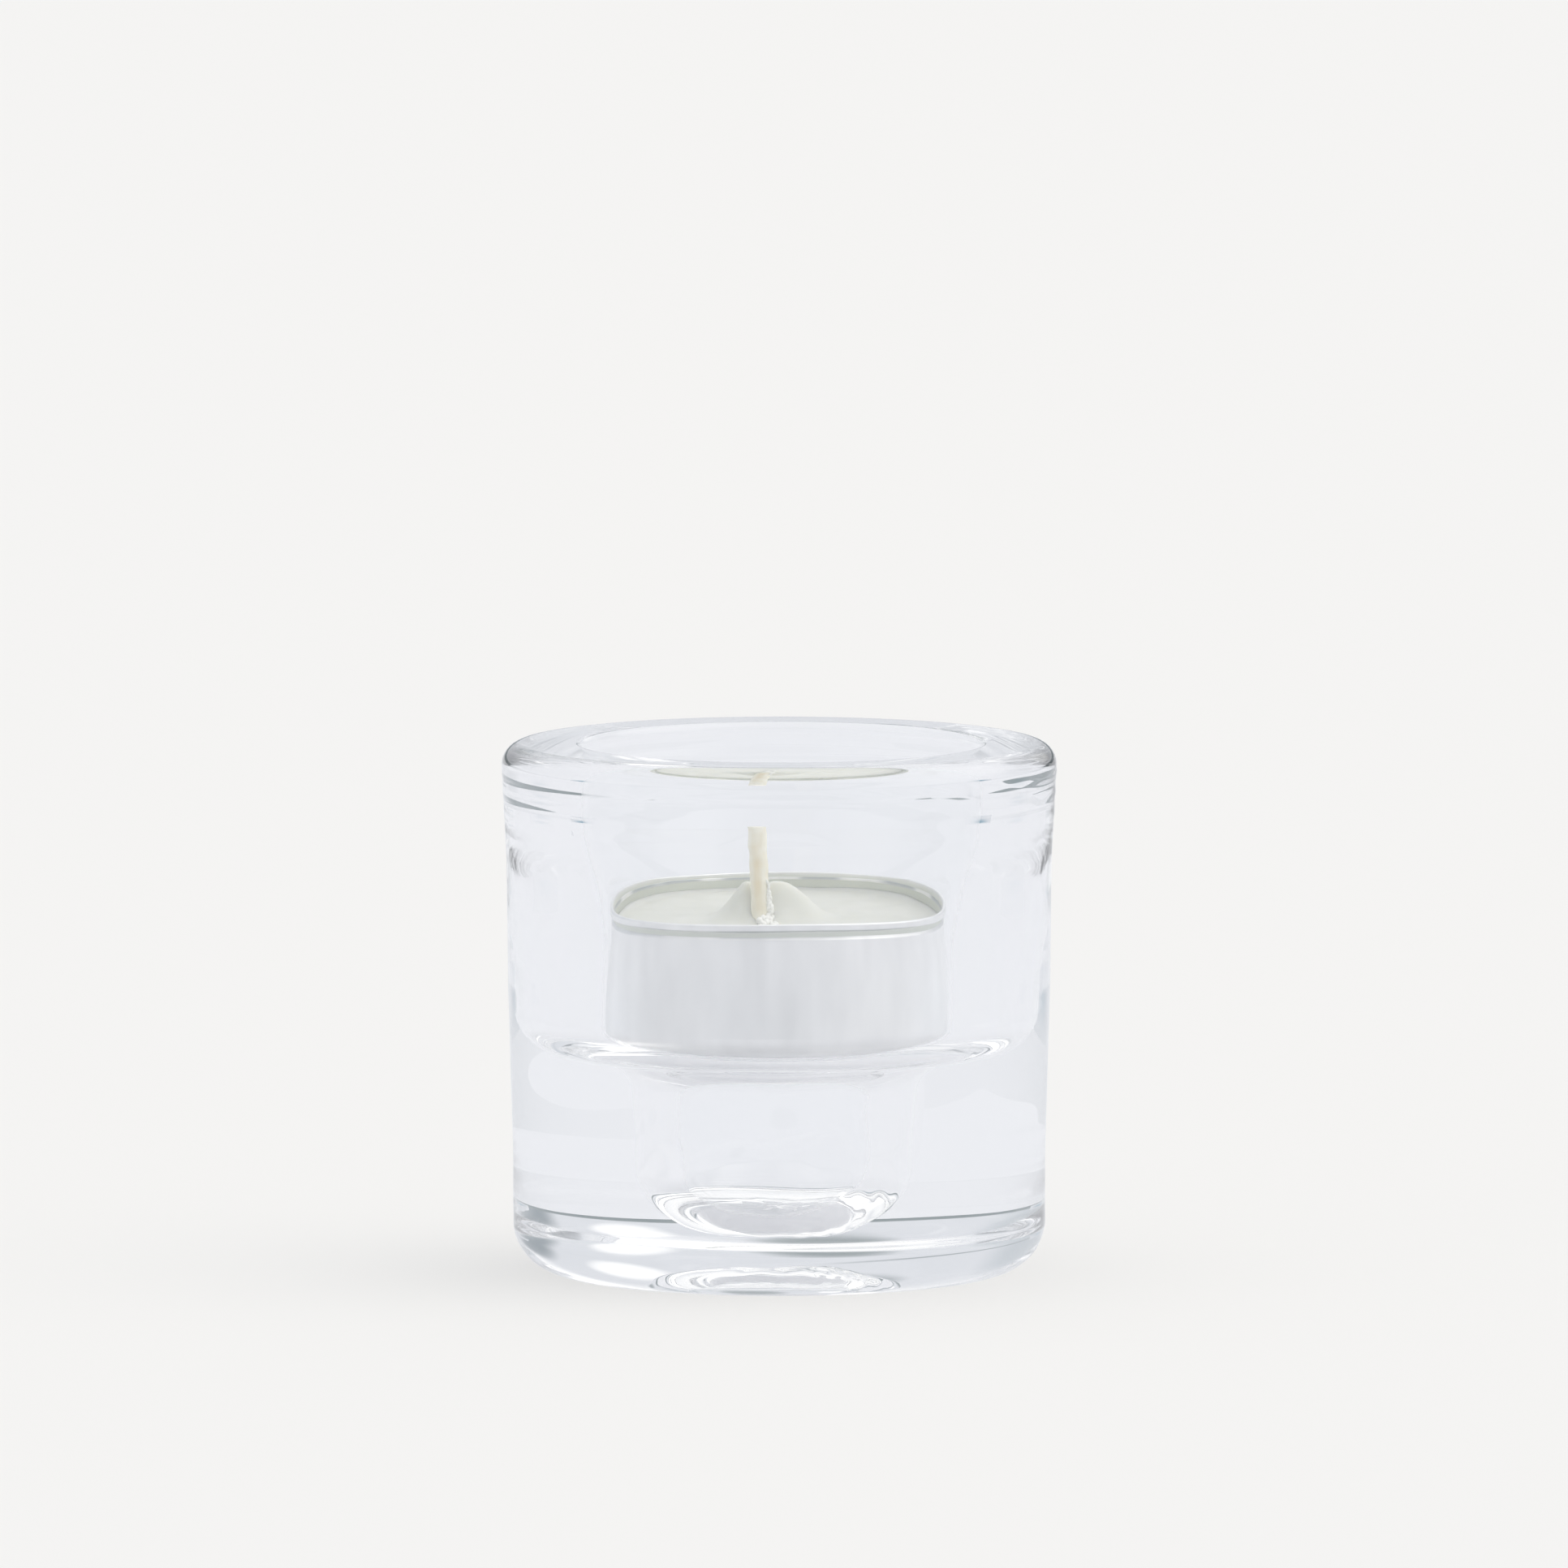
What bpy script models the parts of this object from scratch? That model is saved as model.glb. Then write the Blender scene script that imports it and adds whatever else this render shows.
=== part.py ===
"""Two-way glass candle holder with a tealight standing in its well.

The holder is one thick pressed-glass block: a wide well for a tealight, and in the
well's floor a narrower socket for a taper candle. The tealight is a thin aluminium cup
that holds the wax, a wick, and the small tin clip that keeps the wick upright.

Metres, +Z up. The origin is on the block's axis, on the surface that it stands on.
"""
import math

import bpy
from mathutils import Vector

MM = 0.001

# Glass block: outside
HOLDER_HEIGHT = 59.0 * MM
HEEL_RADIUS = 29.55 * MM       # straight lower part of the wall
HEEL_ROUND = 5.8 * MM
HEEL_WALL_TOP = 13.0 * MM
MIDDLE_RADIUS = 30.1 * MM      # the wall leans out a little above the heel
MIDDLE_HEIGHT = 32.0 * MM
SHOULDER_RADIUS = 30.25 * MM
SHOULDER_HEIGHT = 46.0 * MM
RIM_RADIUS = 30.9 * MM         # and flares again up to the rim
RIM_ROUND = 2.4 * MM
WALL_BEND = 60.0 * MM          # radius of the slow bends between those stretches

# Glass block: well for the tealight
WELL_MOUTH_RADIUS = 22.2 * MM
WELL_LIP_ROUND = 0.8 * MM
WELL_NECK_HEIGHT = 49.5 * MM   # the wall is upright above this height, tapers below it
WELL_NECK_BEND = 12.0 * MM
WELL_WAIST_RADIUS = 19.8 * MM
WELL_WAIST_HEIGHT = 35.5 * MM  # and is nearly upright again below this one
WELL_WAIST_BEND = 40.0 * MM
WELL_FOOT_RADIUS = 19.4 * MM
WELL_CORNER_ROUND = 4.2 * MM
WELL_FLOOR = 24.3 * MM

# Glass block: socket for a taper candle
SOCKET_MOUTH_RADIUS = 10.7 * MM
SOCKET_LIP_ROUND = 3.2 * MM
SOCKET_END_RADIUS = 9.6 * MM
SOCKET_CORNER_ROUND = 8.0 * MM  # the socket ends in a bowl
SOCKET_FLOOR = 5.0 * MM

# Tealight
GAP = 0.3 * MM                 # space left between neighbouring pieces
SEAT_GAP = 0.8 * MM            # the well's rounded corner holds the cup off its floor
TEALIGHT_OFFSET = -0.2 * MM    # the tealight stands a little to one side of the axis
CUP_RADIUS = 19.0 * MM
CUP_HEIGHT = 15.8 * MM
CUP_SHEET = 0.25 * MM
CUP_CORNER_ROUND = 3.4 * MM
CUP_ROLL = 0.15 * MM           # how far the rolled edge stands out from the cup's side
CUP_ROLL_HEIGHT = 0.9 * MM
WAX_DROP = 2.3 * MM            # the wax stands this far below the cup's edge
WAX_MOUND = 2.0 * MM           # and rises this much round the wick
WAX_MOUND_RADIUS = 5.0 * MM
WICK_RADIUS = 1.0 * MM
WICK_LENGTH = 24.6 * MM
WICK_LEAN = 1.8 * MM
WICK_OFFSET = -0.7 * MM        # the wick is not quite in the middle of the cup
CLIP_RADIUS = 6.2 * MM
CLIP_SHEET = 0.3 * MM
CLIP_NECK_HEIGHT = 3.0 * MM

# Fineness of the turned shapes
TURN_STEPS = 56
SMALL_TURN_STEPS = 32
ARC_STEP = math.radians(23.0)  # most that one facet of a rounding turns
WICK_POINTS = 9
MERGE_DISTANCE = 0.00001

CUP_FLOOR = WELL_FLOOR + SEAT_GAP
CUP_TOP = CUP_FLOOR + CUP_HEIGHT


def clear_scene():
    for old in list(bpy.data.objects):
        bpy.data.objects.remove(old, do_unlink=True)


def make_material(name, colour, roughness, metallic=0.0, transmission=0.0):
    material = bpy.data.materials.new(name)
    material.use_nodes = True
    shader = material.node_tree.nodes["Principled BSDF"]
    shader.inputs["Base Color"].default_value = (*colour, 1.0)
    shader.inputs["Roughness"].default_value = roughness
    shader.inputs["Metallic"].default_value = metallic
    shader.inputs["Transmission Weight"].default_value = transmission
    return material


def rounded(corners):
    """Outline of points (r, z) through corners (r, z, round): each corner becomes an arc
    of radius round that touches both of the straight lines that meet there."""
    points = []
    for i, (r, z, radius) in enumerate(corners):
        corner = Vector((r, z))
        if radius == 0.0 or i in (0, len(corners) - 1):
            points.append((r, z))
            continue
        back = (Vector(corners[i - 1][:2]) - corner).normalized()
        ahead = (Vector(corners[i + 1][:2]) - corner).normalized()
        half_turn = 0.5 * (math.pi - back.angle(ahead))
        centre = corner + (back + ahead).normalized() * radius / math.cos(half_turn)
        middle = (corner - centre).normalized()
        side = Vector((-middle.y, middle.x))
        side *= math.copysign(1.0, side.dot(ahead))
        steps = max(2, math.ceil(2.0 * half_turn / ARC_STEP))
        for k in range(steps + 1):
            angle = half_turn * (2.0 * k / steps - 1.0)
            point = centre + radius * (math.cos(angle) * middle + math.sin(angle) * side)
            points.append((point.x, point.y))
    return points


def glass_outline():
    """The socket from its middle outward, the well, over the rim, and down the outside."""
    corners = [
        (0.0, SOCKET_FLOOR, 0.0),
        (SOCKET_END_RADIUS, SOCKET_FLOOR, SOCKET_CORNER_ROUND),
        (SOCKET_MOUTH_RADIUS, WELL_FLOOR, SOCKET_LIP_ROUND),
        (WELL_FOOT_RADIUS, WELL_FLOOR, WELL_CORNER_ROUND),
        (WELL_WAIST_RADIUS, WELL_WAIST_HEIGHT, WELL_WAIST_BEND),
        (WELL_MOUTH_RADIUS, WELL_NECK_HEIGHT, WELL_NECK_BEND),
        (WELL_MOUTH_RADIUS, HOLDER_HEIGHT, WELL_LIP_ROUND),
        (RIM_RADIUS, HOLDER_HEIGHT, RIM_ROUND),
        (SHOULDER_RADIUS, SHOULDER_HEIGHT, WALL_BEND),
        (MIDDLE_RADIUS, MIDDLE_HEIGHT, WALL_BEND),
        (HEEL_RADIUS, HEEL_WALL_TOP, WALL_BEND),
        (HEEL_RADIUS, 0.0, HEEL_ROUND),
        (0.0, 0.0, 0.0),
    ]
    return rounded(corners)


def turn(name, outline, material, steps):
    """Make a turned piece: the outline, top to bottom down its outer side, on a Screw."""
    mesh = bpy.data.meshes.new(name)
    edges = [(i, i + 1) for i in range(len(outline) - 1)]
    mesh.from_pydata([(r, 0.0, z) for r, z in outline], edges, [])
    mesh.materials.append(material)
    piece = bpy.data.objects.new(name, mesh)
    screw = piece.modifiers.new("turn", "SCREW")
    screw.axis = "Z"
    screw.steps = steps
    screw.render_steps = steps
    screw.use_merge_vertices = True
    screw.merge_threshold = MERGE_DISTANCE
    screw.use_smooth_shade = True
    return piece


def cup_outline():
    """Inside of the cup from the axis up, over the rolled edge, and down the outside."""
    inner = CUP_RADIUS - CUP_SHEET
    roll = CUP_RADIUS + CUP_ROLL
    roll_round = 0.45 * (roll - inner)
    corners = [
        (0.0, CUP_FLOOR + CUP_SHEET, 0.0),
        (inner, CUP_FLOOR + CUP_SHEET, CUP_CORNER_ROUND - CUP_SHEET),
        (inner, CUP_TOP, roll_round),
        (roll, CUP_TOP, roll_round),
        (roll, CUP_TOP - CUP_ROLL_HEIGHT, roll_round),
        (CUP_RADIUS, CUP_TOP - CUP_ROLL_HEIGHT, 0.0),
        (CUP_RADIUS, CUP_FLOOR, CUP_CORNER_ROUND),
        (0.0, CUP_FLOOR, 0.0),
    ]
    return rounded(corners)


def clip_top():
    return CUP_FLOOR + CUP_SHEET + GAP + CLIP_SHEET + CLIP_NECK_HEIGHT


def wax_outline():
    """The wax as a solid of revolution: raised in the middle, rounded at the bottom edge."""
    radius = CUP_RADIUS - CUP_SHEET - GAP
    bottom = CUP_FLOOR + CUP_SHEET + GAP
    top = CUP_TOP - WAX_DROP
    corners = [
        (0.0, top + WAX_MOUND, 0.0),
        (WAX_MOUND_RADIUS, top, WAX_MOUND_RADIUS),
        (radius, top, 0.0),
        (radius, bottom, CUP_CORNER_ROUND - CUP_SHEET - GAP),
        (0.0, bottom, 0.0),
    ]
    return rounded(corners)


def wick_space_outline():
    """Room for the wick and its clip, with a gap all round, open at the wax's bottom."""
    bottom = CUP_FLOOR + CUP_SHEET + GAP
    bore = WICK_RADIUS + GAP
    neck = bore + CLIP_SHEET + GAP
    disc = CLIP_RADIUS + GAP
    disc_top = bottom + CLIP_SHEET + GAP
    neck_top = clip_top() + GAP
    return [
        (0.0, CUP_TOP + WAX_MOUND),
        (bore, CUP_TOP + WAX_MOUND),
        (bore, neck_top),
        (neck, neck_top),
        (neck, disc_top),
        (disc, disc_top),
        (disc, bottom - GAP),
        (0.0, bottom - GAP),
    ]


def clip_outline():
    """A disc with a short neck in its middle that grips the wick, as one closed ring."""
    bottom = CUP_FLOOR + CUP_SHEET + GAP
    bore = WICK_RADIUS + GAP
    neck = bore + CLIP_SHEET
    outline = [(bore, bottom), (bore, clip_top()), (neck, clip_top())]
    outline += [(neck, bottom + CLIP_SHEET), (CLIP_RADIUS, bottom + CLIP_SHEET)]
    outline += [(CLIP_RADIUS, bottom), (bore, bottom)]
    return outline


def make_wick(material):
    """A round cord: straight where the clip and the wax hold it, leaning above them."""
    foot = CUP_FLOOR + CUP_SHEET + GAP
    free_from = CUP_TOP - WAX_DROP + WAX_MOUND
    curve = bpy.data.curves.new("wick", "CURVE")
    curve.dimensions = "3D"
    curve.bevel_depth = WICK_RADIUS
    curve.bevel_resolution = 2
    curve.use_fill_caps = True
    spline = curve.splines.new("POLY")
    spline.points.add(WICK_POINTS - 1)
    for i, point in enumerate(spline.points):
        height = foot + WICK_LENGTH * i / (WICK_POINTS - 1)
        free = max(height - free_from, 0.0) / (foot + WICK_LENGTH - free_from)
        point.co = (-WICK_LEAN * free, 0.0, height, 1.0)
    curve.materials.append(material)
    return bpy.data.objects.new("wick", curve)


def cut(piece, cutter):
    """Subtract the cutter; it stays in the file, hidden from renders."""
    boolean = piece.modifiers.new("cut", "BOOLEAN")
    boolean.operation = "DIFFERENCE"
    boolean.solver = "EXACT"
    boolean.object = cutter
    cutter.hide_render = True
    cutter.display_type = "WIRE"


def make_collection(name):
    collection = bpy.data.collections.new(name)
    bpy.context.scene.collection.children.link(collection)
    return collection


def build():
    clear_scene()
    parts = make_collection("tealight_holder")
    cutters = make_collection("cutters")

    clear_glass = make_material("clear_glass", (0.96, 0.97, 0.98), 0.02, transmission=1.0)
    aluminium = make_material("cup_aluminium", (0.80, 0.81, 0.82), 0.35, metallic=1.0)
    paraffin = make_material("candle_wax", (0.86, 0.87, 0.82), 0.40)
    cotton = make_material("wick_cotton", (0.87, 0.82, 0.67), 0.85)
    tin = make_material("clip_tin", (0.66, 0.66, 0.67), 0.30, metallic=1.0)

    holder = turn("glass_holder", glass_outline(), clear_glass, TURN_STEPS)
    cup = turn("tealight_cup", cup_outline(), aluminium, TURN_STEPS)
    wax = turn("wax", wax_outline(), paraffin, TURN_STEPS)
    clip = turn("wick_clip", clip_outline(), tin, SMALL_TURN_STEPS)
    wick = make_wick(cotton)
    wick_space = turn("wick_space", wick_space_outline(), paraffin, SMALL_TURN_STEPS)
    cut(wax, wick_space)

    tealight = bpy.data.objects.new("tealight_place", None)
    tealight.location = (TEALIGHT_OFFSET, 0.0, 0.0)
    parts.objects.link(tealight)
    for piece in (holder, cup, wax, clip, wick):
        parts.objects.link(piece)
    cutters.objects.link(wick_space)
    for piece in (cup, wax, clip, wick, wick_space):
        piece.parent = tealight
    for piece in (clip, wick, wick_space):
        piece.location = (WICK_OFFSET, 0.0, 0.0)


build()
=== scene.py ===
# %% [markdown]
# # A tealight holder in pressed glass
#
# The real object is a thick round block of clear glass with two holes in it: a wide well
# for a tealight, and in the well's floor a narrow socket for a taper candle. A tealight
# stands in the well: a thin aluminium cup, wax, a wick, and a tin clip under the wax.
#
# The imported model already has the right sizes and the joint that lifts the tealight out,
# but its round pieces are made of flat facets. Glass shows every facet, so this lesson
# builds each piece again as a smooth surface in exactly the same place.

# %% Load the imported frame
import math

import bpy
import numpy as np
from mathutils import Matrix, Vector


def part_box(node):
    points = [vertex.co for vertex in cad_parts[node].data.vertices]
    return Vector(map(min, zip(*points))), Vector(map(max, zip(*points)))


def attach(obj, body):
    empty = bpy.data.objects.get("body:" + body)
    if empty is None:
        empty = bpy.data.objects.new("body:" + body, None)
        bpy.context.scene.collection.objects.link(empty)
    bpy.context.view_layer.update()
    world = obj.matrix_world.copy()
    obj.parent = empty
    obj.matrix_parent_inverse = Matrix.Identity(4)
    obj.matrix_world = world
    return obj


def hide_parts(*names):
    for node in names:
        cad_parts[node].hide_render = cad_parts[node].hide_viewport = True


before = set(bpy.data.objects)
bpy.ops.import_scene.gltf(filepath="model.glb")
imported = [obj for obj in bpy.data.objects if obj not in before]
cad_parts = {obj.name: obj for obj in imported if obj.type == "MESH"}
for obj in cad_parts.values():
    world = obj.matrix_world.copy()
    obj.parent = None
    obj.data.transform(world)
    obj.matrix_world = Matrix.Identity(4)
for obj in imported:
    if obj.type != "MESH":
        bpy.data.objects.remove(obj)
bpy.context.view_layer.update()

MM = 0.001
print("packed pieces:", ", ".join(sorted(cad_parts)))

# %% Read the places of the pieces from the frame
glass_low, glass_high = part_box("glass_holder")
cup_low, cup_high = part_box("tealight_cup")
wax_low, wax_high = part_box("wax")
wick_low, wick_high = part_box("wick")
clip_low, clip_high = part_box("wick_clip")

HOLDER_HEIGHT = glass_high.z
CUP_X = 0.5 * (cup_low.x + cup_high.x)
CUP_FLOOR = cup_low.z
CUP_TOP = cup_high.z
CLIP_X = 0.5 * (clip_low.x + clip_high.x)
print(f"holder {HOLDER_HEIGHT / MM:.2f} mm high, cup from {CUP_FLOOR / MM:.2f} to "
      f"{CUP_TOP / MM:.2f} mm, {CUP_X / MM:.2f} mm off the axis")
print(f"packed wax from {wax_low.z / MM:.2f} to {wax_high.z / MM:.2f} mm")

# %% [markdown]
# ## Camera
#
# A long lens from three metres keeps the upright sides of the block almost parallel. It
# looks down by under six degrees, so the mouth of the well is a thin ellipse. The size
# of the view is easier to think of as a width at the object than as a focal length, so
# the focal length is worked out from that: sensor width x distance / view width.

# %% Camera
CAMERA_RISE = math.radians(5.8)
CAMERA_DISTANCE = 3.0
VIEW_WIDTH = 174.0 * MM
AIM = np.array([0.54 * MM, 0.0, 54.3 * MM])

camera = bpy.data.objects.new("camera", bpy.data.cameras.new("camera"))
bpy.context.scene.collection.objects.link(camera)
back = np.array([0.0, -math.cos(CAMERA_RISE), math.sin(CAMERA_RISE)])
camera.location = AIM + CAMERA_DISTANCE * back
camera.rotation_euler = (math.pi / 2 - CAMERA_RISE, 0.0, 0.0)
camera.data.sensor_width = 36.0
camera.data.lens = camera.data.sensor_width * CAMERA_DISTANCE / VIEW_WIDTH
camera.data.clip_end = 50.0
bpy.context.scene.camera = camera
print(f"camera lens {camera.data.lens:.0f} mm")

# %% [markdown]
# ## Studio
#
# Clear glass has almost no look of its own: it shows what stands round it. So the studio
# is part of the finish. It is a pale floor in a pale room, with a broad window high on
# the right, a strip of bright wall behind the holder and dimmer walls elsewhere.
#
# Lamps could light the floor as well, but small lamps leave grain in thick glass. Here
# the walls are smooth pools of light on the world's sphere of directions instead. Each
# pool has an azimuth, measured from straight behind the holder towards the right, and
# an elevation above the horizon.

# %% Materials with nodes
def new_material(name):
    """A material with nodes: returns it with its node tree and its Principled shader."""
    material = bpy.data.materials.new(name)
    material.use_nodes = True
    return material, material.node_tree, material.node_tree.nodes["Principled BSDF"]


def mixed(tree, share, start, end):
    """The colour (1 - share) * start + share * end; each is a colour or a socket."""
    mix = tree.nodes.new("ShaderNodeMix")
    mix.data_type = "RGBA"
    tree.links.new(share, mix.inputs["Factor"])
    for label, colour in (("A", start), ("B", end)):
        if isinstance(colour, tuple):
            mix.inputs[label].default_value = (*colour, 1.0)
        else:
            tree.links.new(colour, mix.inputs[label])
    return mix.outputs["Result"]


def spread(tree, value, start, end, low=0.0, high=1.0, soft=False):
    """Goes from low to high while value goes from start to end: straight, or, when it is
    soft, along an even S."""
    run = tree.nodes.new("ShaderNodeMapRange")
    run.interpolation_type = "SMOOTHSTEP" if soft else "LINEAR"
    numbers = {"From Min": start, "From Max": end, "To Min": low, "To Max": high}
    for label, number in numbers.items():
        run.inputs[label].default_value = number
    tree.links.new(value, run.inputs["Value"])
    return run.outputs["Result"]


def product(tree, first, second):
    """Two values multiplied."""
    times = tree.nodes.new("ShaderNodeMath")
    times.operation = "MULTIPLY"
    tree.links.new(first, times.inputs[0])
    tree.links.new(second, times.inputs[1])
    return times.outputs[0]


# %% Floor
FLOOR_DROP = 0.1 * MM          # a hair below the foot, so that the two never share a face
PAPER_SEEN = (0.905, 0.896, 0.879)
PAPER_IN_GLASS = (0.845, 0.853, 0.880)   # thick glass shows the paper dimmer and cooler
FLOOR_LIGHT = 1.04             # how much light falls on the floor, as a share of white
FLOOR_REACH = 8.0              # in metres, each way from the middle

floor_mesh = bpy.data.meshes.new("studio_floor")
floor_mesh.from_pydata([(x * FLOOR_REACH, y * FLOOR_REACH, -FLOOR_DROP)
                        for x, y in ((-1, -1), (1, -1), (1, 1), (-1, 1))], [], [(0, 1, 2, 3)])
studio_floor = bpy.data.objects.new("studio_floor", floor_mesh)
bpy.context.scene.collection.objects.link(studio_floor)

paper, tree, shader = new_material("studio_paper")
straight = tree.nodes.new("ShaderNodeLightPath")
paper_colour = mixed(tree, straight.outputs["Is Camera Ray"],
                     tuple(c / FLOOR_LIGHT for c in PAPER_IN_GLASS),
                     tuple(c / FLOOR_LIGHT for c in PAPER_SEEN))
tree.links.new(paper_colour, shader.inputs["Base Color"])
shader.inputs["Roughness"].default_value = 1.0
shader.inputs["Specular IOR Level"].default_value = 0.0
floor_mesh.materials.append(paper)
print("floor made")

# %% Room: the pools of light
ROOM = (0.74, 0.76, 0.80)
# name: azimuth, elevation, degrees out to its edge, degrees of its full middle, colour
POOLS = {
    "ceiling": (0, 90, 62, 25, (1.06, 1.06, 1.06)),
    "wall_behind_camera": (180, 4, 30, 8, (0.34, 0.36, 0.38)),
    "pale_left_wall": (-118, 0, 28, 10, (0.98, 0.98, 0.98)),
    "left_wall": (-62, 14, 26, 8, (0.56, 0.60, 0.64)),
    "pale_right_wall": (116, 0, 34, 12, (1.32, 1.32, 1.32)),
    "window": (95, 50, 44, 18, (1.60, 1.58, 1.55)),
    "right_doorway": (60, 8, 16, 5, (0.27, 0.31, 0.34)),
    "bright_strip": (26, 15, 11, 4, (1.12, 1.12, 1.12)),
    "shaded_strip": (-8, 21, 14, 4, (0.33, 0.37, 0.385)),
}
SKIRTING = (0.28, 0.32, 0.335)  # a dark line of skirting board just above the horizon
SKIRTING_EDGE = (3.6, 2.6)      # degrees up where it starts to show, and where it is full
print(len(POOLS), "pools of light over one even room")


# %% Room: the world's directions
def towards(azimuth, elevation):
    """The unit vector (cos e * sin a, cos e * cos a, sin e)."""
    a, e = math.radians(azimuth), math.radians(elevation)
    return math.cos(e) * math.sin(a), math.cos(e) * math.cos(a), math.sin(e)


world = bpy.data.worlds.new("studio_room")
world.use_nodes = True
bpy.context.scene.world = world
sky = world.node_tree
direction = sky.nodes.new("ShaderNodeTexCoord").outputs["Generated"]
light = ROOM
for azimuth, elevation, edge_at, full_at, colour in POOLS.values():
    nearness = sky.nodes.new("ShaderNodeVectorMath")
    nearness.operation = "DOT_PRODUCT"
    nearness.inputs[1].default_value = towards(azimuth, elevation)
    sky.links.new(direction, nearness.inputs[0])
    share = spread(sky, nearness.outputs["Value"], math.cos(math.radians(edge_at)),
                   math.cos(math.radians(full_at)), soft=True)
    light = mixed(sky, share, light, colour)
level = sky.nodes.new("ShaderNodeSeparateXYZ")
sky.links.new(direction, level.inputs[0])
share = spread(sky, level.outputs["Z"], *[math.sin(math.radians(e)) for e in SKIRTING_EDGE],
               soft=True)
light = mixed(sky, share, light, SKIRTING)
sky.links.new(light, sky.nodes["Background"].inputs["Color"])
print("room made")

# %% [markdown]
# ## Two low cards that draw the glass's edges
#
# At its edges a round block of glass looks far out to the side. A low blue-grey card on
# each side gives those edges their cool bands, which is how glass is lit in a studio.
# The cards stay out of the straight view, and neither light the floor nor shade it. Each
# fades to the room's own colour at its edges, or the glass would show hard corners.

# %% Side cards
CARD_AWAY = 0.30
CARD_LOW, CARD_HIGH = 8.0 * MM, 28.0 * MM
CARD_COLOUR = (0.16, 0.32, 0.42)
CARDS = {"right_card": (57.0, 76.0), "left_card": (-76.0, -57.0)}  # azimuths of both ends
for name, (start, end) in CARDS.items():
    card_mesh = bpy.data.meshes.new(name)
    start, end = math.radians(start), math.radians(end)
    spots = [(CARD_AWAY * math.sin(a), CARD_AWAY * math.cos(a)) for a in (start, end)]
    card_mesh.from_pydata([(*spots[0], CARD_LOW), (*spots[1], CARD_LOW),
                           (*spots[1], CARD_HIGH), (*spots[0], CARD_HIGH)], [], [(0, 1, 2, 3)])
    card = bpy.data.objects.new(name, card_mesh)
    bpy.context.scene.collection.objects.link(card)
    card.visible_camera = card.visible_diffuse = card.visible_shadow = False
    card_paint, tree, shader = new_material(name + "_paint")
    shader.inputs["Base Color"].default_value = (0.0, 0.0, 0.0, 1.0)
    shader.inputs["Specular IOR Level"].default_value = 0.0
    across = tree.nodes.new("ShaderNodeSeparateXYZ")
    tree.links.new(tree.nodes.new("ShaderNodeTexCoord").outputs["Generated"], across.inputs[0])
    fades = []
    for axis in ("Y", "Z"):
        inward = tree.nodes.new("ShaderNodeMath")   # 0 at both edges and 0.5 in the middle
        inward.operation = "PINGPONG"
        inward.inputs[1].default_value = 0.5
        tree.links.new(across.outputs[axis], inward.inputs[0])
        fades.append(spread(tree, inward.outputs[0], 0.0, 0.5, soft=True))
    card_colour = mixed(tree, product(tree, *fades), ROOM, CARD_COLOUR)
    tree.links.new(card_colour, shader.inputs["Emission Color"])
    shader.inputs["Emission Strength"].default_value = 1.0
    card_mesh.materials.append(card_paint)
print("cards:", ", ".join(CARDS))

# %% [markdown]
# ## Light paths
#
# In thick glass light bounces many times before it gets out. If Blender stops counting
# too soon, the glass gets black patches, so the limits are raised. The standard view
# transform keeps the pale paper as pale as it is.

# %% Let light find its way out of thick glass
BOUNCES = 32
studio = bpy.context.scene
studio.cycles.max_bounces = BOUNCES
studio.cycles.transmission_bounces = BOUNCES
studio.cycles.glossy_bounces = BOUNCES
studio.view_settings.view_transform = "Standard"
print("light may bounce", BOUNCES, "times")

# %% [markdown]
# ## Effects that several finishes share
#
# No surface is one even colour. Two effects do most of the work here, so each is built
# once as a node group and placed in every material with its own numbers. Mottle drifts
# between two colours and also gives the drift as a value, which can vary the gloss.
# Grain is a fine relief. Both read Object coordinates, so that a pattern sits still on
# its piece, and both can be stretched along an axis to make streaks.

# %% Node groups
def new_group(name, inputs, outputs):
    """A shader node group with the sockets given as (name, socket type, default)."""
    group = bpy.data.node_groups.new(name, "ShaderNodeTree")
    for label, kind, default in inputs:
        group.interface.new_socket(label, in_out="INPUT", socket_type=kind).default_value = default
    for label, kind in outputs:
        group.interface.new_socket(label, in_out="OUTPUT", socket_type=kind)
    return group, group.nodes.new("NodeGroupInput"), group.nodes.new("NodeGroupOutput")


def stretched(group, given):
    """Object coordinates times the group's Stretch, each axis on its own."""
    where = group.nodes.new("ShaderNodeTexCoord")
    scaled = group.nodes.new("ShaderNodeVectorMath")
    scaled.operation = "MULTIPLY"
    group.links.new(where.outputs["Object"], scaled.inputs[0])
    group.links.new(given.outputs["Stretch"], scaled.inputs[1])
    return scaled.outputs["Vector"]


STRETCH = ("Stretch", "NodeSocketVector", (1.0, 1.0, 1.0))
SCALE = ("Scale", "NodeSocketFloat", 200.0)

mottle, given, out = new_group("mottle", [
    STRETCH, SCALE, ("Light", "NodeSocketColor", (0.9, 0.9, 0.9, 1.0)),
    ("Dark", "NodeSocketColor", (0.7, 0.7, 0.7, 1.0))],
    [("Colour", "NodeSocketColor"), ("Value", "NodeSocketFloat")])
noise = mottle.nodes.new("ShaderNodeTexNoise")
noise.inputs["Detail"].default_value = 4.0
mottle.links.new(stretched(mottle, given), noise.inputs["Vector"])
mottle.links.new(given.outputs["Scale"], noise.inputs["Scale"])
drift = spread(mottle, noise.outputs["Fac"], 0.3, 0.7)
mottle.links.new(mixed(mottle, drift, given.outputs["Dark"], given.outputs["Light"]),
                 out.inputs["Colour"])
mottle.links.new(drift, out.inputs["Value"])

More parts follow.
